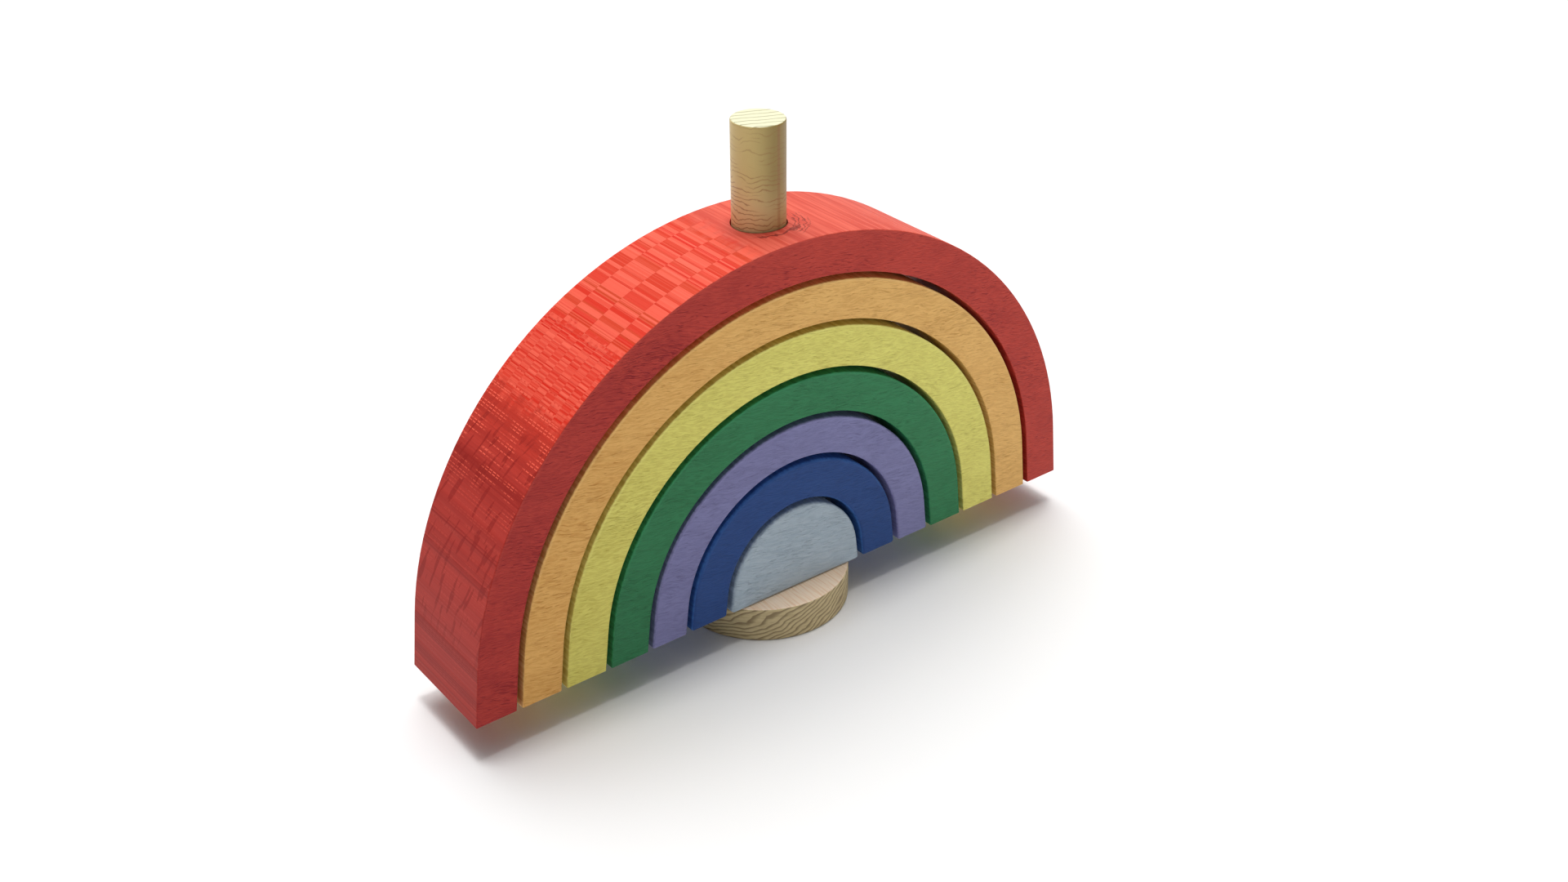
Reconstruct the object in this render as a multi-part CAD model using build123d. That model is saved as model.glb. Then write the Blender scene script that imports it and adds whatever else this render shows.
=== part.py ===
from build123d import *
import os
from math import cos, radians, sin, tan

# A rainbow stacker on a peg. Six wooden arches nest over a half-round block, and a dowel that
# stands in a round base disc passes up through the crown of every one of them.
# Frame: the origin is the centre of the disc's underside, +X runs across the rainbow,
# +Y runs from its front face to its back face, and +Z is up along the peg.
# All sizes are in millimetres.

# Base disc and peg
OVERALL_HEIGHT = 180.0
DISC_DIAMETER = 63.0
DISC_THICKNESS = 13.0
DISC_EDGE_ROUND = 0.6
PEG_DIAMETER = 18.0
PEG_EDGE_ROUND = 0.6
SEAT_DEPTH = 10.0
SEAT_CLEARANCE = 0.05       # on the radius, so the peg can turn in its seat
SEAT_FLOOR_GAP = 0.2        # between the peg's lower end and the bottom of its seat

# Rainbow
RAINBOW_DEPTH = 42.0
BORE_DIAMETER = 19.0        # loose on the peg, so every piece drops on by itself
BLOCK_RADIUS = 27.7         # the solid half-round in the middle
ARCH_GAP = 2.1              # saw kerf between one piece and the next
ARC_CENTRE_HEIGHT = 4.85    # of the shared arc centre, above the feet
LEG_SPLAY = 7.0             # degrees above the arc centre at which a leg turns straight
EDGE_ROUND = 0.4
SOFTER_EDGE_ROUND = {        # the inner pieces are sanded rounder
    "light_blue_block": 1.2,
    "dark_blue_arch": 1.2,
    "purple_arch": 0.8,
}

# Each arch's thickness, from the innermost to the outermost
ARCH_THICKNESS = {
    "dark_blue_arch": 14.8,
    "purple_arch": 13.6,
    "green_arch": 14.4,
    "yellow_arch": 14.9,
    "orange_arch": 14.4,
    "red_arch": 14.6,
}


def base_disc():
    """The round foot, with a blind seat for the peg in its top face."""
    disc = Cylinder(DISC_DIAMETER / 2, DISC_THICKNESS, align=(Align.CENTER, Align.CENTER, Align.MIN))
    disc = fillet(disc.edges().filter_by(GeomType.CIRCLE), DISC_EDGE_ROUND)
    seat = Cylinder(
        PEG_DIAMETER / 2 + SEAT_CLEARANCE,
        SEAT_DEPTH,
        align=(Align.CENTER, Align.CENTER, Align.MAX),
    )
    return disc - Pos(0, 0, DISC_THICKNESS) * seat


def peg():
    """The dowel, from just above the bottom of its seat to the top of the toy."""
    lower_end = DISC_THICKNESS - SEAT_DEPTH + SEAT_FLOOR_GAP
    length = OVERALL_HEIGHT - lower_end
    dowel = Cylinder(PEG_DIAMETER / 2, length, align=(Align.CENTER, Align.CENTER, Align.MIN))
    dowel = fillet(dowel.edges().filter_by(GeomType.CIRCLE), PEG_EDGE_ROUND)
    return Pos(0, 0, lower_end) * dowel


def half_round(radius):
    """A D-shaped slab that stands on z = 0: a crown arc whose legs run on along its tangents."""
    splay = radians(LEG_SPLAY)
    hip_x = radius * cos(splay)
    hip_z = ARC_CENTRE_HEIGHT + radius * sin(splay)
    foot_x = hip_x + hip_z * tan(splay)
    crown_z = ARC_CENTRE_HEIGHT + radius
    legs = Polyline((-hip_x, hip_z), (-foot_x, 0), (foot_x, 0), (hip_x, hip_z))
    crown = ThreePointArc((hip_x, hip_z), (0, crown_z), (-hip_x, hip_z))
    outline = make_face(legs.edges() + crown.edges())
    return extrude(Plane.XZ * outline, RAINBOW_DEPTH / 2, both=True)


def round_edges(name, piece):
    """Ease the edges of both flat faces and the edges across the feet."""
    face_edges = piece.edges().group_by(Axis.Y)[0] + piece.edges().group_by(Axis.Y)[-1]
    foot_edges = piece.edges().filter_by(Axis.Y).group_by(Axis.Z)[0]
    return fillet(face_edges + foot_edges, SOFTER_EDGE_ROUND.get(name, EDGE_ROUND))


def drill_and_place(piece):
    """Drill the upright bore and set the piece's feet level with the top of the disc."""
    bore = Cylinder(BORE_DIAMETER / 2, 2 * OVERALL_HEIGHT)
    return Pos(0, 0, DISC_THICKNESS) * (piece - bore)


def light_blue_block():
    """The solid half-round in the middle of the rainbow."""
    return drill_and_place(round_edges("light_blue_block", half_round(BLOCK_RADIUS)))


def arch(name, inner_radius, outer_radius):
    """One arch of the rainbow."""
    ring = half_round(outer_radius) - half_round(inner_radius)
    return drill_and_place(round_edges(name, ring))


def arches():
    """All six arches by name, each one saw kerf outside the piece before it."""
    pieces = {}
    outer_radius = BLOCK_RADIUS
    for name, thickness in ARCH_THICKNESS.items():
        inner_radius = outer_radius + ARCH_GAP
        outer_radius = inner_radius + thickness
        pieces[name] = arch(name, inner_radius, outer_radius)
    return pieces


def toy():
    """Every piece of the toy, by node name."""
    return {
        "base_disc": base_disc(),
        "peg": peg(),
        "light_blue_block": light_blue_block(),
        **arches(),
    }


os.makedirs("parts", exist_ok=True)
for node, shape in toy().items():
    export_step(shape, f"parts/{node}.step")
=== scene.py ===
"""A wooden rainbow stacker on a peg, dressed and lit for a studio picture.

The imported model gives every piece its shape. This script gives each piece its finish, then adds the
floor, the lights and the camera.
"""

import functools
import logging
import math
from collections.abc import Callable
from dataclasses import dataclass, field
from enum import Enum
from typing import Any

import bpy
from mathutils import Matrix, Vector

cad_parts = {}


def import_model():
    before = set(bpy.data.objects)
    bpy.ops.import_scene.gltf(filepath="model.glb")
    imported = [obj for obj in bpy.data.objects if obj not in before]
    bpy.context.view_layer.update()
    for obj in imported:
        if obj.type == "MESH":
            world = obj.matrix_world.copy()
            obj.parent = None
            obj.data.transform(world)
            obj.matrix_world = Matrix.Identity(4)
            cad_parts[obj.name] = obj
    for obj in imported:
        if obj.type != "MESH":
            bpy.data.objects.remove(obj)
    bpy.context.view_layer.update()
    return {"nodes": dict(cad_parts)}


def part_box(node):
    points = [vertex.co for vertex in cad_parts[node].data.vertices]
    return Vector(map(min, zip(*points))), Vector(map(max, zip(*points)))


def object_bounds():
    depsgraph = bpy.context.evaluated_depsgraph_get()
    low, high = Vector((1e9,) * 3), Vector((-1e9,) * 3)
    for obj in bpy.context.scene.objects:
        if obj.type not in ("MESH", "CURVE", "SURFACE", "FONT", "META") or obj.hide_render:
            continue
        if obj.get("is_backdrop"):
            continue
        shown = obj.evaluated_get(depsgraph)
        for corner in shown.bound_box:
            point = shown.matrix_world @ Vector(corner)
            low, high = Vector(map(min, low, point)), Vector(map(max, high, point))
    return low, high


log = logging.getLogger("rainbow_stacker")

MM = 0.001
ARC_CENTRE_ABOVE_FEET = 4.85  # mm, the height of the centre that all the arches share
ANY_DEPTH = 60.0  # mm, deeper than any piece, so that a face's figure runs straight back
EASED = {"interpolation_type": "SMOOTHSTEP"}  # how a value passes from one level to another

Socket = bpy.types.NodeSocket
Tree = bpy.types.NodeTree
Colour = tuple[float, float, float, float]
Add = Callable[..., Socket]


def linear(hex_colour: str) -> Colour:
    """Turn an sRGB hex colour into the linear colour that Blender works in.

    Args:
        hex_colour: Six hex digits, such as "c8a070".

    Returns:
        Linear red, green and blue, and an alpha of 1.
    """
    channels = [int(hex_colour[i : i + 2], 16) / 255 for i in (0, 2, 4)]
    red, green, blue = (c / 12.92 if c <= 0.04045 else ((c + 0.055) / 1.055) ** 2.4 for c in channels)
    return red, green, blue, 1.0


def add_node(tree: Tree, kind: str, inputs: Any = (), out: int | str = 0, **settings: Any) -> Socket:
    """Add a node to a tree, with its settings, its values and its links.

    Args:
        tree: The node tree to add to.
        kind: The node's type without its "ShaderNode" prefix, such as "Math".
        inputs: What goes into the inputs, in order or as a dict by name or index. Each is an output
            socket to link, a hex colour or another value to set.
        out: The output to return, by index or name.
        settings: Attributes of the node, such as operation="ADD".

    Returns:
        The chosen output socket.
    """
    node = tree.nodes.new("ShaderNode" + kind)
    for name, value in settings.items():
        setattr(node, name, value)
    pairs = inputs.items() if isinstance(inputs, dict) else enumerate(inputs)
    for key, value in pairs:
        if isinstance(value, bpy.types.NodeSocket):
            tree.links.new(value, node.inputs[key])
        else:
            node.inputs[key].default_value = linear(value) if isinstance(value, str) else value
    return node.outputs[out]


@dataclass(frozen=True)
class Place:
    """Where a shaded point lies on its piece, as node sockets, in millimetres."""

    add: Add
    point: Socket
    x: Socket
    y: Socket
    z: Socket
    facing_front: Socket
    facing_up: Socket

    @classmethod
    def on_piece(cls, add: Add) -> "Place":
        """Read the point and the way the surface faces from the piece's own coordinates.

        Args:
            add: Adds a node to the material's tree.

        Returns:
            The place, with how squarely the surface faces front or back, and how far it faces up.
        """
        metres = add("TexCoord", out="Object")
        point = add("VectorMath", (metres, (1 / MM, 1 / MM, 1 / MM)), operation="MULTIPLY")
        normal = add("TexCoord", out="Normal")
        x, y, z = (add("SeparateXYZ", (point,), out=axis) for axis in range(3))
        front = add("Math", (add("SeparateXYZ", (normal,), out=1),), operation="ABSOLUTE")
        return cls(add, point, x, y, z, front, add("SeparateXYZ", (normal,), out=2))

    def patches(
        self, size: tuple[float, float, float], seed: float, detail: float, point: Socket | None = None
    ) -> dict[str, Any]:
        """Describe a noise whose patches have a given size.

        Args:
            size: A patch's size along x, y and z, in millimetres.
            seed: Moves the pattern, so that no two pieces share it.
            detail: How much finer pattern is laid over the patches.
            point: The point at which to read the pattern, if it isn't the shaded one.

        Returns:
            The noise's inputs, by name.
        """
        per_patch = tuple(1 / side for side in size)
        shift = (seed, seed * 1.7, seed * 0.6)
        vector = self.add("VectorMath", (point or self.point, per_patch, shift), operation="MULTIPLY_ADD")
        return {"Vector": vector, "Scale": 1.0, "Detail": detail}

    def coat(self, base: Socket | str, *coats: tuple[Socket, Socket | str]) -> Socket:
        """Lay coats of colour over a base, one after another.

        Args:
            base: The lowest colour, as a socket or a hex colour.
            coats: How much of each coat shows, from 0 to 1, and its colour.

        Returns:
            The colour that is left to see.
        """
        for share, colour in coats:
            base = self.add("Mix", {0: share, 6: base, 7: colour}, out=2, data_type="RGBA")
        return base

    def all_of(self, share: Socket, *others: Socket) -> Socket:
        """Multiply shares together, so that a mark shows only where every one of them does.

        Args:
            share: A share from 0 to 1.
            others: More of them.

        Returns:
            The joint share, from 0 to 1.
        """
        for other in others:
            share = self.add("Math", (share, other), operation="MULTIPLY")
        return share


@dataclass(frozen=True)
class Skin:
    """What a material needs to know about a surface: its colour and its relief."""

    colour: Socket
    height: Socket

    def under(self, at: Place, upper: "Skin", share: Socket) -> "Skin":
        """Lay another skin over this one, by a share from 0 to 1."""
        height = at.add("Mix", {0: share, 2: self.height, 3: upper.height}, data_type="FLOAT")
        return Skin(at.coat(self.colour, (share, upper.colour)), height)


@dataclass(frozen=True)
class Arc:
    """The outer side of a half-round piece, seen from the front, in millimetres."""

    radius: float
    centre: float  # the centre's height above the table

    @classmethod
    def of(cls, node: str) -> "Arc":
        """Read a piece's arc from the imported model.

        Args:
            node: The piece's node name.

        Returns:
            Its arc.
        """
        low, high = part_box(node)
        centre = low.z / MM + ARC_CENTRE_ABOVE_FEET
        return cls(high.z / MM - centre, centre)

    def around(self, at: Place) -> Socket:
        """Measure the way round the arc from its crown, positive to the right.

        Args:
            at: The shaded point.

        Returns:
            The way round, in millimetres.
        """
        up = at.add("Math", (at.z, self.centre), operation="SUBTRACT")
        angle = at.add("Math", (at.x, up), operation="ARCTAN2")
        return at.add("Math", (angle, self.radius), operation="MULTIPLY")


def make_wood(
    name: str, build: Callable[[Place], Skin], relief: float, roughness: float, gloss: float
) -> bpy.types.Material:
    """Make a wood material: a plain dielectric over a bump.

    Args:
        name: The material's name.
        build: Gives the skin at a place.
        relief: How deep the skin's relief is, in millimetres.
        roughness: How much the surface scatters its reflections.
        gloss: The shader's specular level, which is 0.5 for a closed lacquer and less for open pores.

    Returns:
        The material.
    """
    material = bpy.data.materials.new(name)
    material.use_nodes = True
    tree = material.node_tree
    tree.nodes.clear()
    add = functools.partial(add_node, tree)
    skin = build(Place.on_piece(add))
    bump = add("Bump", {"Height": skin.height, "Strength": 1.0, "Distance": relief * MM})
    values = {"Base Color": skin.colour, "Normal": bump}
    values |= {"Roughness": roughness, "Specular IOR Level": gloss, "IOR": 1.5}
    surface = tree.nodes.new("ShaderNodeOutputMaterial").inputs["Surface"]
    tree.links.new(add("BsdfPrincipled", values), surface)
    return material


@dataclass(frozen=True)
class SandedFace:
    """The flat front and back of a stained piece.

    The stain sinks in unevenly, so the face is slightly cloudy, with short darker flecks along a grain
    that drops a little to the right, and the raised fibres leave a fine wavering relief. Fibres and
    flecks are drawn a little coarser than in real beech, so that they show.
    """

    stain: str
    # deep: the deeper stain, and also the colour of the painted shade towards the left foot
    deep: str
    seed: float
    flecks: float = 0.5  # how strongly the flecks show
    clouds: float = 0.10  # how strongly the cloudiness shows
    hollows: float = 0.26  # how strongly the hollows between fibres show
    left_shade: float = 0.36  # how much the painted shade darkens the face at the left foot
    left_shade_start: float = 45.0  # mm across, where the painted shade starts
    left_shade_end: float = -125.0  # mm across, where the painted shade is darkest
    drop: float = 0.16  # how far the grain drops for each millimetre to the right
    waver: float = 4.5  # mm, how far the grain strays up and down
    fibre_length: float = 3.4  # mm, along the grain
    fibre_width: float = 0.48  # mm, across it
    fleck_length: float = 3.2  # mm
    fleck_width: float = 0.42  # mm
    fleck_depth: float = 0.35  # against the height of a fibre

    def skin(self, at: Place) -> Skin:
        """Give the face its fibres, flecks and clouds, and a painted shade that darkens it towards the left
        foot.

        Args:
            at: The shaded point.

        Returns:
            The face's skin.
        """
        add = at.add
        waver = add("TexNoise", at.patches((15.0, ANY_DEPTH, 8.0), self.seed, 2.0))
        drop = add("Math", (at.x, self.drop, at.z), operation="MULTIPLY_ADD")
        level = add("Math", (waver, self.waver, drop), operation="MULTIPLY_ADD")
        grain = add("CombineXYZ", (at.x, at.y, level))
        size = (self.fibre_length, ANY_DEPTH, self.fibre_width)
        fibres = add("TexNoise", at.patches(size, self.seed + 3, 2.0, grain) | {"Roughness": 0.55})
        fleck = self.fleck(at, grain)
        cloud = add("TexNoise", at.patches((19.0, ANY_DEPTH, 9.0), self.seed + 17, 3.0, grain))
        shade = add("MapRange", (cloud, 0.62, 0.34, 0.0, self.clouds), **EASED)
        hollow = add("MapRange", (fibres, 0.60, 0.38, 0.0, self.hollows), **EASED)
        depth = add("Math", (shade, hollow), operation="ADD")
        depth = add("Math", (fleck, self.flecks, depth), operation="MULTIPLY_ADD")
        # painted shade: the face is darkened towards the left foot, standing in for less light there
        painted_shade = add("MapRange", (at.x, self.left_shade_start, self.left_shade_end, 0.0, self.left_shade), **EASED)
        depth = add("Math", (add("Math", (depth, painted_shade), operation="ADD"), 1.0), operation="MINIMUM")
        height = add("Math", (fleck, -self.fleck_depth, fibres), operation="MULTIPLY_ADD")
        return Skin(at.coat(self.stain, (depth, self.deep)), height)

    def fleck(self, at: Place, grain: Socket) -> Socket:
        """Strew flecks along the grain, crowded in some places and scarce in others.

        Args:
            at: The shaded point.
            grain: The same point, moved so that the grain is level.

        Returns:
            From 0, beside the flecks, to 1, on one.
        """
        add = at.add
        size = (self.fleck_length, ANY_DEPTH, self.fleck_width)
        pores = add("TexNoise", at.patches(size, self.seed + 7, 1.0, grain))
        crowd = add("TexNoise", at.patches((24.0, ANY_DEPTH, 13.0), self.seed + 11, 2.0))
        cut = add("Math", (crowd, -0.42, 0.83), operation="MULTIPLY_ADD")
        above = add("Math", (pores, cut), operation="SUBTRACT")
        return add("MapRange", (above, 0.0, 0.10), **EASED)


@dataclass(frozen=True)
class SawnRim:
    """The curved sides of a stained piece, with soft streaks that run from front to back."""

    light: str
    dark: str
    seed: float

    def streaks(self, at: Place, around: Socket, width: float, length: float) -> Socket:
        """Streak the rim from front to back.

        Args:
            at: The shaded point.
            around: The way round the rim, in millimetres.
            width: A streak's width, in millimetres.
            length: Its length, in millimetres.

        Returns:
            How pale the streak is, from 0 to 1.
        """
        rim = at.add("CombineXYZ", (around, at.y, self.seed))
        pattern = at.patches((width, length, 1.0), self.seed, 3.0, rim)
        return at.add("TexNoise", pattern | {"Roughness": 0.6})

    def skin(self, at: Place, arc: Arc) -> Skin:
        """Give the rim its streaks.

        Args:
            at: The shaded point.
            arc: The piece's arc.

        Returns:
            The rim's skin.
        """
        streak = self.streaks(at, arc.around(at), width=1.1, length=24.0)
        pale = at.add("MapRange", (streak, 0.34, 0.66), **EASED)
        return Skin(at.coat(self.dark, (pale, self.light)), streak)


@dataclass(frozen=True)
class PatchedRim(SawnRim):
    """The red arch's rim, whose stain took in patches.

    On the left of the peg it is a patchwork: columns of short blocks, each block pale where its
    neighbours are deep. Lower down the blocks shrink to fine dashes, then give way to a dull deep red
    with smears, and to the right of the peg there are only long soft streaks. Every place round the
    rim is in millimetres from the crown, positive to the right.
    """

    pale: str = "f2634d"  # blocks that took little stain, and the wires
    fiery: str = "d8230c"  # blocks and dashes that took much of it
    tawny: str = "cc3c14"  # the browner ones among those blocks
    warm: str = "cf3826"  # the plain red below the dashes
    dull: str = "bf3a30"  # the foot
    deep: str = "931a13"  # the foot's lines and smears
    scratch: str = "6e2018"  # the torn grain
    column: float = 12.4  # mm, across the rim, from edge to edge of a block
    block: float = 2.7  # mm, a block's usual length round the rim
    small_column: float = 4.712  # mm, a fine dash's length across the rim
    dash: float = 0.75  # mm, a fine dash's usual width round the rim
    hair: float = 0.42  # mm, the width of the thin lines within a block, coarse enough to show
    hair_run: float = 2.3  # mm round the rim, how long they stay as strong
    tawny_run: float = 2.6  # mm, how long a deep block's colour stays the same
    foot_line: float = 0.6  # mm, the width of a crisp line on the foot
    wire: float = 1.5  # mm, from one wire to the next
    wire_dash: float = 2.2  # mm, from one dash of a wire to the next
    wire_run: float = 3.6  # mm round the rim, how far the dashes of wires stay in step
    blocks_start: float = -10.0  # where the patchwork starts, left of the peg
    blocks_end: float = -71.0  # where blocks become dashes
    dashes_end: float = -100.0  # where dashes become plain red
    wires_start: float = -88.0  # where the wires start
    wires_end: float = -142.0  # where they are nearly gone
    dull_start: float = 96.0  # on either side, where the red starts to turn dull
    dull_end: float = 127.0  # where it is all dull
    smears_start: float = 98.0  # on either side, where the smears start
    smears_end: float = 190.0  # where they end, above the feet
    tear: float = 14.3  # mm, from the peg's axis to the torn grain in front of it

    def bar(self, at: Place, along: Socket, length: float, seed: float, value: int = 0) -> Socket:
        """Cut the way round into bars of uneven length, and give each a random value.

        Args:
            at: The shaded point.
            along: The way round the rim, in millimetres.
            length: A bar's usual length, in millimetres.
            seed: Moves the bars.
            value: Which of the bar's three random values to give.

        Returns:
            The bar's value, from 0 to 1.
        """
        measure = at.add("Math", (along, 1 / length, seed), operation="MULTIPLY_ADD")
        bar = at.add("TexVoronoi", {"W": measure, "Scale": 1.0}, out="Color", voronoi_dimensions="1D")
        return at.add("SeparateColor", (bar,), out=value)

    def patchwork(
        self, at: Place, around: Socket, column: float, block: float, disorder: float, seed: float
    ) -> Socket:
        """Lay blocks in columns, each pale where the one beside it is deep.

        Args:
            at: The shaded point.
            around: The way round the rim, in millimetres.
            column: A column's width across the rim, in millimetres.
            block: A block's usual length, in millimetres.
            disorder: From 0, where columns swap strictly, to 1, where a block is pale by chance.
            seed: Moves the blocks.

        Returns:
            From 0, deep, to 1, pale.
        """
        add = at.add
        row = add("Math", (add("Math", (at.y, column), operation="DIVIDE"),), operation="FLOOR")
        parity = add("Math", (row, 2.0), operation="FLOORED_MODULO")
        own = add("CombineXYZ", (row, self.bar(at, around, block * 0.6, seed, 1), seed))
        chance = add("TexWhiteNoise", {"Vector": own}, noise_dimensions="3D")
        measure = add("Math", (around, 0.8 / block, seed), operation="MULTIPLY_ADD")
        uneven = add("TexNoise", {"W": measure, "Scale": 1.0, "Detail": 1.0}, noise_dimensions="1D")
        even = add("Math", (around, 0.5 / block), operation="MULTIPLY")
        beat = add("Math", (uneven, 1.5, even), operation="MULTIPLY_ADD")
        strict = add("Math", (add("Math", (beat,), operation="FRACT"), 0.5), operation="GREATER_THAN")
        swapped = add("Math", (add("Math", (strict, parity), operation="SUBTRACT"),), operation="ABSOLUTE")
        return add("Mix", {0: disorder, 2: swapped, 3: chance}, data_type="FLOAT")

    def patches_of_stain(self, at: Place, around: Socket, ragged: Socket) -> Skin:
        """Colour the patchwork, from blocks near the crown to dashes lower down.

        Args:
            at: The shaded point.
            around: The way round the rim, in millimetres.
            ragged: The same, with uneven edges between the zones.

        Returns:
            The patchwork's skin.
        """
        add = at.add
        large = self.patchwork(at, around, self.column, self.block, 0.22, self.seed)
        small = self.patchwork(at, around, self.small_column, self.dash, 0.55, self.seed + 5)
        is_small = add("MapRange", (ragged, self.blocks_end, self.blocks_end - 3.0), **EASED)
        pale = add("Mix", {0: is_small, 2: large, 3: small}, data_type="FLOAT")
        hair = add("MapRange", (self.bar(at, around, self.hair, self.seed + 2), 0.45, 0.60), **EASED)
        lined = self.bar(at, around, self.hair_run, self.seed + 3, 2)
        lined = add("MapRange", (lined, 0.30, 0.75, 0.06, 0.55), **EASED)
        hairs = add("Math", (add("Math", (hair, -0.5), operation="ADD"), lined), operation="MULTIPLY")
        tone = add("Math", (pale, 0.84, 0.06), operation="MULTIPLY_ADD")
        tone = add("Math", (tone, hairs), operation="ADD", use_clamp=True)
        tawny = self.bar(at, around, self.tawny_run, self.seed + 6, 1)
        colour = at.coat(self.fiery, (tawny, self.tawny), (is_small, self.fiery), (tone, self.pale))
        return Skin(colour, tone)

    def foot(self, at: Place, around: Socket) -> Skin:
        """Colour the dull foot, with crowded crisp lines in some places and broad faint ones in others.

        Args:
            at: The shaded point.
            around: The way round the rim, in millimetres.

        Returns:
            The foot's skin.
        """
        add = at.add
        line = add("CombineXYZ", (around, 0.0, self.seed))
        crowd = add("TexNoise", at.patches((9.0, 9.0, 1.0), self.seed + 1, 1.0, line))
        crowd = add("MapRange", (crowd, 0.42, 0.62, 0.10, 0.70), **EASED)
        broad = add("TexNoise", at.patches((3.5, 9.0, 1.0), self.seed + 2, 3.0, line))
        broad = add("MapRange", (broad, 0.38, 0.66, 0.0, 0.35), **EASED)
        crisp = at.all_of(self.bar(at, around, self.foot_line, self.seed + 7), crowd)
        tone = add("Math", (broad, crisp), operation="ADD", use_clamp=True)
        return Skin(at.coat(self.dull, (tone, self.deep)), tone)

    def wires(self, at: Place, around: Socket, ragged: Socket) -> Socket:
        """Draw thin pale lines across the rim, broken into dashes, where blocks give way to the foot.

        Args:
            at: The shaded point.
            around: The way round the rim, in millimetres.
            ragged: The same, with uneven edges between the zones.

        Returns:
            How strongly a line shows, from 0 to 1.
        """
        add = at.add
        measure = add("Math", (around, 1 / self.wire, self.seed), operation="MULTIPLY_ADD")
        centre = add("TexVoronoi", {"W": measure, "Scale": 1.0}, out="Distance", voronoi_dimensions="1D")
        thin = add("MapRange", (centre, 0.15, 0.08), **EASED)
        shift = self.bar(at, around, self.wire_run, self.seed + 4, 2)
        across = add("Math", (at.y, 1 / self.wire_dash, shift), operation="MULTIPLY_ADD")
        dash = add("Math", (add("Math", (across,), operation="FRACT"), 0.74), operation="LESS_THAN")
        rim = add("CombineXYZ", (around, at.y, self.seed))
        group = add("TexNoise", at.patches((9.0, 11.0, 1.0), self.seed + 12, 1.0, rim))
        group = add("MapRange", (group, 0.42, 0.56), **EASED)
        start = add("MapRange", (ragged, self.wires_start, self.wires_start - 8.0), **EASED)
        end = add("MapRange", (ragged, self.wires_end, self.wires_end + 26.0, 0.15, 0.95), **EASED)
        return at.all_of(thin, dash, group, start, end)

    def smears(self, at: Place, around: Socket, spread: Socket) -> Socket:
        """Slant dark lens-shaped smears across the foot.

        Args:
            at: The shaded point.
            around: The way round the rim, in millimetres.
            spread: The same, but positive on both sides.

        Returns:
            How dark the smear is, from 0 to 1.
        """
        add = at.add
        lean = add("Math", (around, 0.30, at.y), operation="MULTIPLY_ADD")
        slant = add("CombineXYZ", (around, lean, self.seed))
        lens = add("TexNoise", at.patches((10.0, 2.2, 1.0), self.seed + 4, 1.0, slant))
        lens = add("MapRange", (lens, 0.58, 0.63), **EASED)
        start = add("MapRange", (spread, self.smears_start, self.smears_start + 18.0, 0.0, 0.62), **EASED)
        end = add("MapRange", (spread, self.smears_end, self.smears_end - 18.0), **EASED)
        return at.all_of(lens, start, end)

    def torn_grain(self, at: Place) -> Socket:
        """Mark where the drill tore the grain: a ragged arc in front of the bore, and shavings beside it.

        Args:
            at: The shaded point.

        Returns:
            How strongly the mark shows, from 0 to 1.
        """
        add = at.add
        wobble = add("TexNoise", at.patches((2.4, 2.4, 1.0), self.seed + 13, 2.0))
        out = add("VectorMath", (add("CombineXYZ", (at.x, at.y, 0.0)),), out="Value", operation="LENGTH")
        reach = add("Math", (wobble, 3.4, out), operation="MULTIPLY_ADD")
        off_arc = add("Math", (add("Math", (reach, self.tear), operation="SUBTRACT"),), operation="ABSOLUTE")
        arc = add("MapRange", (off_arc, 0.62, 0.30), **EASED)
        in_front = add("MapRange", (at.y, -8.5, -10.5), **EASED)
        shaving = add("Math", (add("Math", (reach, 1 / 1.7), operation="MULTIPLY"),), operation="FRACT")
        shaving = add("MapRange", (shaving, 0.62, 0.78), **EASED)
        near = add("MapRange", (out, 17.5, 16.0), **EASED)
        beside = add("MapRange", (at.x, 3.0, 7.0), **EASED)
        clear = add("MapRange", (out, 10.5, 12.0, 0.0, 0.95), **EASED)
        shavings = at.all_of(shaving, near, beside, clear)
        mark = add("Math", (at.all_of(arc, in_front), shavings), operation="MAXIMUM")
        return at.all_of(mark, add("MapRange", (at.y, 3.0, -3.0, 0.0, 0.75), **EASED))

    def skin(self, at: Place, arc: Arc) -> Skin:
        """Join the zones of the rim, from the left foot over the crown to the right foot.

        Args:
            at: The shaded point.
            arc: The piece's arc.

        Returns:
            The rim's skin.
        """
        add = at.add
        around = arc.around(at)
        spread = add("Math", (around,), operation="ABSOLUTE")
        rim = add("CombineXYZ", (around, at.y, self.seed))
        uneven = add("TexNoise", at.patches((6.0, 3.0, 1.0), self.seed + 9, 2.0, rim))
        shifted = add("Math", (around, -8.0), operation="ADD")
        ragged = add("Math", (uneven, 16.0, shifted), operation="MULTIPLY_ADD")
        soft = self.streaks(at, around, width=1.5, length=45.0)
        pale = add("MapRange", (soft, 0.36, 0.64), **EASED)
        patched = self.patches_of_stain(at, around, ragged)
        foot = self.foot(at, around)
        left = add("MapRange", (ragged, self.blocks_start, self.blocks_start - 12.0), **EASED)
        plain = add("MapRange", (ragged, self.dashes_end + 4.0, self.dashes_end - 5.0), **EASED)
        low = add("MapRange", (spread, self.dull_start, self.dull_end), **EASED)
        crown = Skin(at.coat(self.dark, (pale, self.light)), soft).under(at, patched, left)
        red = at.coat(self.warm, (foot.height, self.deep))
        whole = Skin(at.coat(crown.colour, (plain, red)), crown.height).under(at, foot, low)
        colour = at.coat(
            whole.colour,
            (self.smears(at, around, spread), self.deep),
            (self.wires(at, around, ragged), self.pale),
            (self.torn_grain(at), self.scratch),
        )
        return Skin(colour, whole.height)


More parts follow.
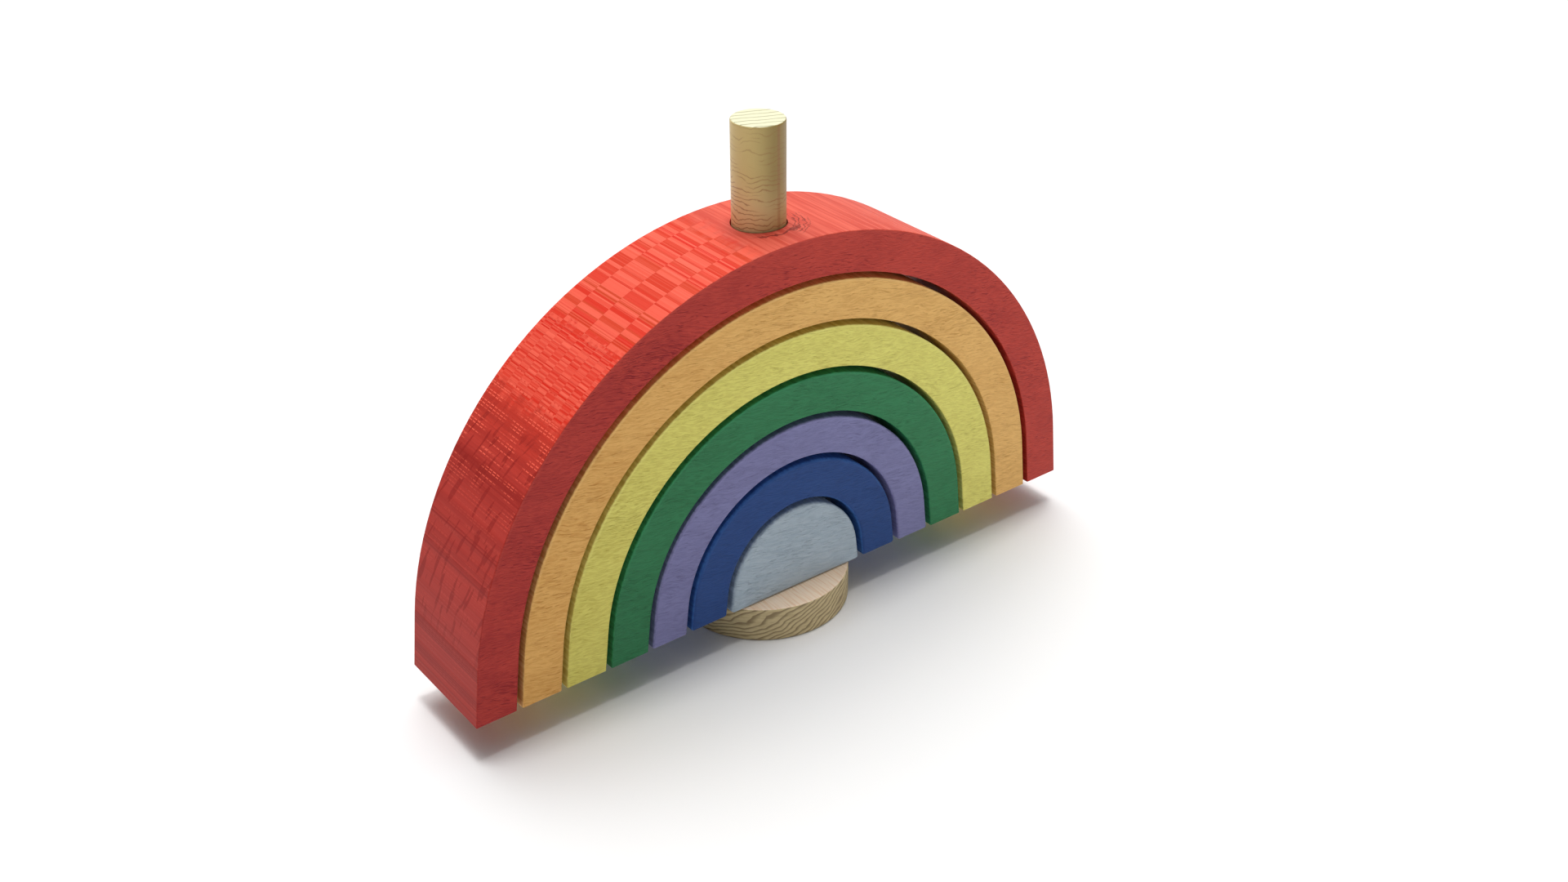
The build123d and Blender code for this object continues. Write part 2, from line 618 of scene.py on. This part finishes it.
@dataclass(frozen=True)
class StainedBeech:
    """Beech sawn to shape, sanded and soaked in a water-based stain, which leaves it matt.

    A flat face and a curved side cut the grain differently, so each has its own figure.
    """

    name: str
    face: SandedFace
    rim: SawnRim
    edge_highlight: float = 0.45  # how strongly the painted highlight lightens the outer edge over the crown
    relief: float = 0.26  # mm, how deep the raised fibres are

    def material(self, arc: Arc) -> bpy.types.Material:
        """Make the material for one piece.

        Args:
            arc: The piece's arc.

        Returns:
            The material.
        """

        def build(at: Place) -> Skin:
            """Lay the face's figure over the rim's where the surface faces front or back.

            Args:
                at: The shaded point.

            Returns:
                The piece's skin.
            """
            face = self.face.skin(at)
            # painted highlight: the face is lightened to the rim's light colour along its outer edge over the
            # crown
            highlighted = Skin(at.coat(face.colour, (self.painted_edge_highlight(at, arc), self.rim.light)), face.height)
            is_face = at.add("MapRange", (at.facing_front, 0.55, 0.85), **EASED)
            return self.rim.skin(at, arc).under(at, highlighted, is_face)

        return make_wood(self.name, build, relief=self.relief, roughness=0.55, gloss=0.16)

    def painted_edge_highlight(self, at: Place, arc: Arc) -> Socket:
        """Paint a highlight along the outer edge of the flat face, where it turns up to the light, over the
        crown more than at the feet.

        Args:
            at: The shaded point.
            arc: The piece's arc.

        Returns:
            How strongly the painted highlight shows, from 0 to 1.
        """
        add = at.add
        up = add("Math", (at.z, arc.centre), operation="SUBTRACT")
        reach = add("VectorMath", (add("CombineXYZ", (at.x, up, 0.0)),), out="Value", operation="LENGTH")
        edge_noise = add("TexNoise", at.patches((5.0, ANY_DEPTH, 5.0), arc.radius, 2.0))
        reach = add("Math", (edge_noise, 0.8, reach), operation="MULTIPLY_ADD")
        edge = add("MapRange", (reach, arc.radius - 0.75, arc.radius - 0.1), **EASED)
        # the painted highlight grows towards the crown, where the edge faces up to the light
        crown = add("MapRange", (up, arc.radius * 0.15, arc.radius * 0.6, 0.0, self.edge_highlight), **EASED)
        return at.all_of(edge, crown)


@dataclass(frozen=True)
class PegBeech:
    """A bare beech dowel, pale, with thin brown grain lines that waver round it, more so low down, and a
    painted warm light bounced off the red rim on its low part.
    """

    name: str = "bare beech dowel"
    light: str = "dfc981"
    shaded: str = "876d2a"
    line: str = "92572b"
    # warm: a painted warm light, standing for light bounced off the red rim onto the peg's low part
    warm: str = "f2d49c"
    end: str = "e4e2bf"
    end_line: str = "8c8450"
    line_spacing: float = 1.6  # mm up the side
    line_strength: float = 0.66
    ring_spacing: float = 3.1  # mm across the sawn end
    stripe_across: float = 1.4  # mm to the right, where one darker stripe runs up the front

    def skin(self, at: Place) -> Skin:
        """Give the dowel its side and its sawn end.

        Args:
            at: The shaded point.

        Returns:
            The dowel's skin.
        """
        add = at.add
        waver = add("TexNoise", at.patches((6.5, 6.5, 8.0), 3.0, 3.0))
        line = self.grain_line(at, waver)
        # painted reflection: the peg's low part is warmed, as if lit by light bounced off the red rim
        rim_bounce = add("MapRange", (at.z, 166.0, 148.0, 0.0, 0.75), **EASED)
        right = add("MapRange", (at.x, -10.5, 0.5), **EASED)
        front = add("MapRange", (at.y, 6.0, -3.0), **EASED)
        low = add("MapRange", (at.z, 164.0, 148.0, 0.88, 0.62), **EASED)
        off_stripe = add("Math", (at.x, self.stripe_across), operation="SUBTRACT")
        off_stripe = add("Math", (off_stripe,), operation="ABSOLUTE")
        stripe = add("MapRange", (off_stripe, 1.1, 0.2, 0.0, 0.40), **EASED)
        ahead = add("MapRange", (at.y, 0.0, -4.0), **EASED)
        on_end = add("MapRange", (at.facing_up, 0.55, 0.85), **EASED)
        colour = at.coat(
            self.light,
            (rim_bounce, self.warm),
            (at.all_of(right, front, low), self.shaded),
            (line, self.line),
            (at.all_of(stripe, ahead), self.line),
            (on_end, self.sawn_end(at, waver)),
        )
        return Skin(colour, add("Math", (line, -0.5, waver), operation="MULTIPLY_ADD"))

    def grain_line(self, at: Place, waver: Socket) -> Socket:
        """Draw the grain lines round the side, broken in places and stronger low down.

        Args:
            at: The shaded point.
            waver: A noise that the lines follow.

        Returns:
            How strongly a line shows, from 0 to 1.
        """
        add = at.add
        level = add("Math", (waver, 5.5, at.z), operation="MULTIPLY_ADD")
        ring = add("Math", (add("Math", (level, self.line_spacing), operation="DIVIDE"),), operation="FRACT")
        rise = add("MapRange", (ring, 0.62, 0.86), **EASED)
        fall = add("MapRange", (ring, 1.0, 0.9), **EASED)
        broken = add("TexNoise", at.patches((10.0, 10.0, 2.4), 8.0, 1.0))
        broken = add("MapRange", (broken, 0.40, 0.56), **EASED)
        high = 0.45 * self.line_strength
        strength = add("MapRange", (at.z, 176.0, 152.0, high, self.line_strength), **EASED)
        return at.all_of(rise, fall, broken, strength)

    def sawn_end(self, at: Place, waver: Socket) -> Socket:
        """Colour the sawn end, with growth rings that cross it as gentle arcs.

        Args:
            at: The shaded point.
            waver: A noise that the rings follow.

        Returns:
            The end's colour.
        """
        add = at.add
        across = add("Math", (at.x, 0.40, at.y), operation="MULTIPLY_ADD")
        wave = add("Math", (waver, 2.2, across), operation="MULTIPLY_ADD")
        ring = add("Math", (add("Math", (wave, self.ring_spacing), operation="DIVIDE"),), operation="FRACT")
        off_ring = add("Math", (add("Math", (ring, 0.5), operation="SUBTRACT"),), operation="ABSOLUTE")
        arc = add("MapRange", (off_ring, 0.13, 0.03, 0.0, 0.75), **EASED)
        return at.coat(self.end, (arc, self.end_line))

    def material(self) -> bpy.types.Material:
        """Make the material."""
        return make_wood(self.name, self.skin, relief=0.08, roughness=0.42, gloss=0.45)


@dataclass(frozen=True)
class DiscBeech:
    """A bare disc cut across a board, smooth and pinkish on top, with bold dark grain round its side."""

    name: str = "bare beech disc"
    top: str = "ffe6cb"
    top_grain: str = "f0c69c"
    side: str = "d0bd90"
    side_grain: str = "755f42"
    side_shade: str = "bba67c"
    line_spacing: float = 2.2  # mm up the side
    line_strength: float = 0.74
    rise: float = 0.50  # how far the side's grain climbs for each millimetre to the right

    def skin(self, at: Place) -> Skin:
        """Give the disc its fine-grained top and its boldly lined side.

        Args:
            at: The shaded point.

        Returns:
            The disc's skin.
        """
        hair = at.add("TexNoise", at.patches((0.7, 14.0, 14.0), 2.0, 3.0))
        grain = at.add("MapRange", (hair, 0.40, 0.66, 0.0, 0.7), **EASED)
        top = Skin(at.coat(self.top, (grain, self.top_grain)), hair)
        on_top = at.add("MapRange", (at.facing_up, 0.55, 0.85), **EASED)
        return self.side_skin(at).under(at, top, on_top)

    def side_skin(self, at: Place) -> Skin:
        """Draw the bold grain lines that climb round the side, over faint fibres.

        Args:
            at: The shaded point.

        Returns:
            The side's skin.
        """
        add = at.add
        waver = add("TexNoise", at.patches((16.0, 16.0, 9.0), 5.0, 3.0) | {"Roughness": 0.42})
        rise = add("Math", (at.x, -self.rise, at.z), operation="MULTIPLY_ADD")
        level = add("Math", (waver, 11.0, rise), operation="MULTIPLY_ADD")
        ring = add("Math", (add("Math", (level, self.line_spacing), operation="DIVIDE"),), operation="FRACT")
        swell = add("MapRange", (ring, 0.40, 0.88), **EASED)
        fall = add("MapRange", (ring, 1.0, 0.92), **EASED)
        line = at.all_of(swell, fall)
        shown = add("Math", (line, self.line_strength), operation="MULTIPLY")
        fibre = add("TexNoise", at.patches((5.0, 5.0, 0.8), 9.0, 2.0))
        fibrous = add("MapRange", (fibre, 0.40, 0.65, 0.0, 0.6), **EASED)
        colour = at.coat(self.side, (fibrous, self.side_shade), (shown, self.side_grain))
        return Skin(colour, add("Math", (line, -1.0, fibre), operation="MULTIPLY_ADD"))

    def material(self) -> bpy.types.Material:
        """Make the material."""
        return make_wood(self.name, self.skin, relief=0.12, roughness=0.60, gloss=0.30)


class Stain(Enum):
    """The stained pieces, from the innermost out, by their node names."""

    LIGHT_BLUE = "light_blue_block"
    DARK_BLUE = "dark_blue_arch"
    PURPLE = "purple_arch"
    GREEN = "green_arch"
    YELLOW = "yellow_arch"
    ORANGE = "orange_arch"
    RED = "red_arch"


def dress(piece: bpy.types.Object, material: bpy.types.Material) -> None:
    """Give a piece one material and report it.

    Args:
        piece: The piece's object.
        material: The material, which takes the place of any that it has.
    """
    piece.data.materials.clear()
    piece.data.materials.append(material)
    log.info("dressed %s in %s", piece.name, material.name)


@dataclass
class Stand:
    """The round base disc and the peg that stands in it."""

    nodes: dict[str, bpy.types.Object]
    disc: DiscBeech = DiscBeech()
    peg: PegBeech = PegBeech()

    def dress(self) -> None:
        """Leave the disc and the peg in bare wood."""
        dress(self.nodes["base_disc"], self.disc.material())
        dress(self.nodes["peg"], self.peg.material())


def rainbow_finishes() -> dict[Stain, StainedBeech]:
    """Describe the seven stained finishes.

    Returns:
        Each piece's finish.
    """
    return {
        Stain.LIGHT_BLUE: StainedBeech(
            "light blue stained beech",
            SandedFace("b1bfca", "869aac", 11.0, flecks=0.1, left_shade=0.0, fibre_length=4.5, fibre_width=0.62),
            SawnRim("b4c4d0", "9babb9", 11.0),
            relief=0.50,
        ),
        Stain.DARK_BLUE: StainedBeech(
            "dark blue stained beech",
            SandedFace("2c4c88", "1e3669", 23.0, flecks=0.15, left_shade=0.1),
            SawnRim("3c6aae", "30589a", 23.0),
        ),
        Stain.PURPLE: StainedBeech(
            "purple stained beech",
            SandedFace("8686b3", "67638c", 37.0, flecks=0.2),
            SawnRim("9492c2", "7f7cac", 37.0),
        ),
        Stain.GREEN: StainedBeech(
            "green stained beech",
            SandedFace("388557", "265b3a", 41.0, flecks=0.25),
            SawnRim("3c9462", "2f7c4f", 41.0),
        ),
        Stain.YELLOW: StainedBeech(
            "yellow-green stained beech",
            SandedFace("ece67c", "b9a848", 53.0, flecks=0.25),
            SawnRim("efe888", "d8cc6a", 53.0),
        ),
        Stain.ORANGE: StainedBeech(
            "orange stained beech",
            SandedFace("f2c073", "c3863c", 67.0, flecks=0.28),
            SawnRim("f4c880", "dca75c", 67.0),
        ),
        Stain.RED: StainedBeech(
            "red stained beech",
            SandedFace("c8463a", "902226", 79.0, clouds=0.18),
            PatchedRim("de6350", "c94838", 83.0),
            edge_highlight=0.12,
        ),
    }


@dataclass
class Rainbow:
    """The half-round block and the six arches that nest over it."""

    nodes: dict[str, bpy.types.Object]
    finishes: dict[Stain, StainedBeech] = field(default_factory=rainbow_finishes)

    def dress(self) -> None:
        """Stain every piece in its own colour."""
        for stain, finish in self.finishes.items():
            dress(self.nodes[stain.value], finish.material(Arc.of(stain.value)))


@dataclass(frozen=True)
class Lamp:
    """A far lamp, which gives the same light everywhere."""

    name: str
    direction: tuple[float, float, float]  # from the toy to the lamp
    angle: float  # degrees, how wide the lamp looks from the toy
    strength: float  # watts per square metre

    def hang(self) -> None:
        """Add the lamp to the scene."""
        light = bpy.data.lights.new(self.name, "SUN")
        light.angle = math.radians(self.angle)
        light.energy = self.strength
        lamp = bpy.data.objects.new(self.name, light)
        lamp.rotation_mode = "QUATERNION"
        lamp.rotation_quaternion = (-Vector(self.direction)).to_track_quat("-Z", "Y")
        bpy.context.scene.collection.objects.link(lamp)
        log.info("hung the %s", self.name)


@dataclass
class Studio:
    """The pale floor, the soft light from above and in front, and the camera."""

    floor_colour: str = "e8e8e8"
    floor_size: float = 12.0  # m
    glow_direction: tuple[float, float, float] = (0.32, 0.50, 1.0)  # from the toy to the sky's brightest part
    glow_strength: float = 1.20
    glow_falloff: float = 2.8  # higher draws the glow together
    sky_strength: float = 0.08  # away from the glow
    lamps: tuple[Lamp, ...] = (
        Lamp("broad lamp", direction=(0.10, 0.33, 1.0), angle=38.0, strength=1.45),
        Lamp("narrow lamp", direction=(0.05, 0.03, 1.0), angle=13.0, strength=1.25),
        Lamp("low front fill", direction=(0.10, -1.0, 0.20), angle=20.0, strength=0.43),
    )
    camera_place: tuple[float, float, float] = (-0.3137, -0.4166, 0.3653)  # m
    camera_aim: tuple[float, float, float] = (-0.0060, -0.0210, 0.0743)  # m
    camera_lens: float = 39.8  # mm
    sensor_width: float = 36.0  # mm
    nearest_seen: float = 0.01  # m

    def build(self) -> None:
        """Set up the whole studio."""
        self.lay_floor()
        self.light_sky()
        for lamp in self.lamps:
            lamp.hang()
        self.place_camera()

    def lay_floor(self) -> None:
        """Lay matt white paper at the height of the toy's underside."""
        bpy.ops.mesh.primitive_plane_add(size=self.floor_size, location=(0.0, 0.0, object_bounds()[0].z))
        floor = bpy.context.object
        floor.name = "floor"
        material = bpy.data.materials.new("matt studio paper")
        material.use_nodes = True
        shader = material.node_tree.nodes["Principled BSDF"]
        shader.inputs["Base Color"].default_value = linear(self.floor_colour)
        shader.inputs["Roughness"].default_value = 1.0
        shader.inputs["Specular IOR Level"].default_value = 0.0
        floor.data.materials.append(material)
        floor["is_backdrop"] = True
        log.info("laid the floor")

    def light_sky(self) -> None:
        """Surround the toy with a soft sky that glows overhead and a little behind it."""
        world = bpy.data.worlds.new("studio sky")
        world.use_nodes = True
        tree = world.node_tree
        tree.nodes.clear()
        add = functools.partial(add_node, tree)
        sight = add("TexCoord", out="Generated")
        towards = tuple(Vector(self.glow_direction).normalized())
        facing = add("VectorMath", (sight, towards), out="Value", operation="DOT_PRODUCT")
        facing = add("Math", (facing, 0.0), operation="MAXIMUM")
        glow = add("Math", (facing, self.glow_falloff), operation="POWER")
        strength = add("Math", (glow, self.glow_strength, self.sky_strength), operation="MULTIPLY_ADD")
        sky = add("Background", {"Color": "ffffff", "Strength": strength})
        tree.links.new(sky, tree.nodes.new("ShaderNodeOutputWorld").inputs["Surface"])
        bpy.context.scene.world = world
        log.info("lit the sky")

    def place_camera(self) -> None:
        """Look down on the toy from its left front corner."""
        camera = bpy.data.objects.new("camera", bpy.data.cameras.new("camera"))
        camera.location = self.camera_place
        camera.rotation_mode = "QUATERNION"
        sight = Vector(self.camera_aim) - Vector(self.camera_place)
        camera.rotation_quaternion = sight.to_track_quat("-Z", "Y")
        camera.data.sensor_width = self.sensor_width
        camera.data.lens = self.camera_lens
        camera.data.clip_start = self.nearest_seen
        bpy.context.scene.collection.objects.link(camera)
        bpy.context.scene.camera = camera
        log.info("placed the camera")


def main() -> None:
    """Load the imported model, dress every piece and set up the studio."""
    logging.basicConfig(level=logging.INFO, format="%(message)s")
    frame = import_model()
    bpy.ops.object.select_all(action="DESELECT")
    Stand(frame["nodes"]).dress()
    Rainbow(frame["nodes"]).dress()
    Studio().build()
    bpy.context.scene.view_settings.view_transform = "Standard"


if __name__ == "__main__":
    main()
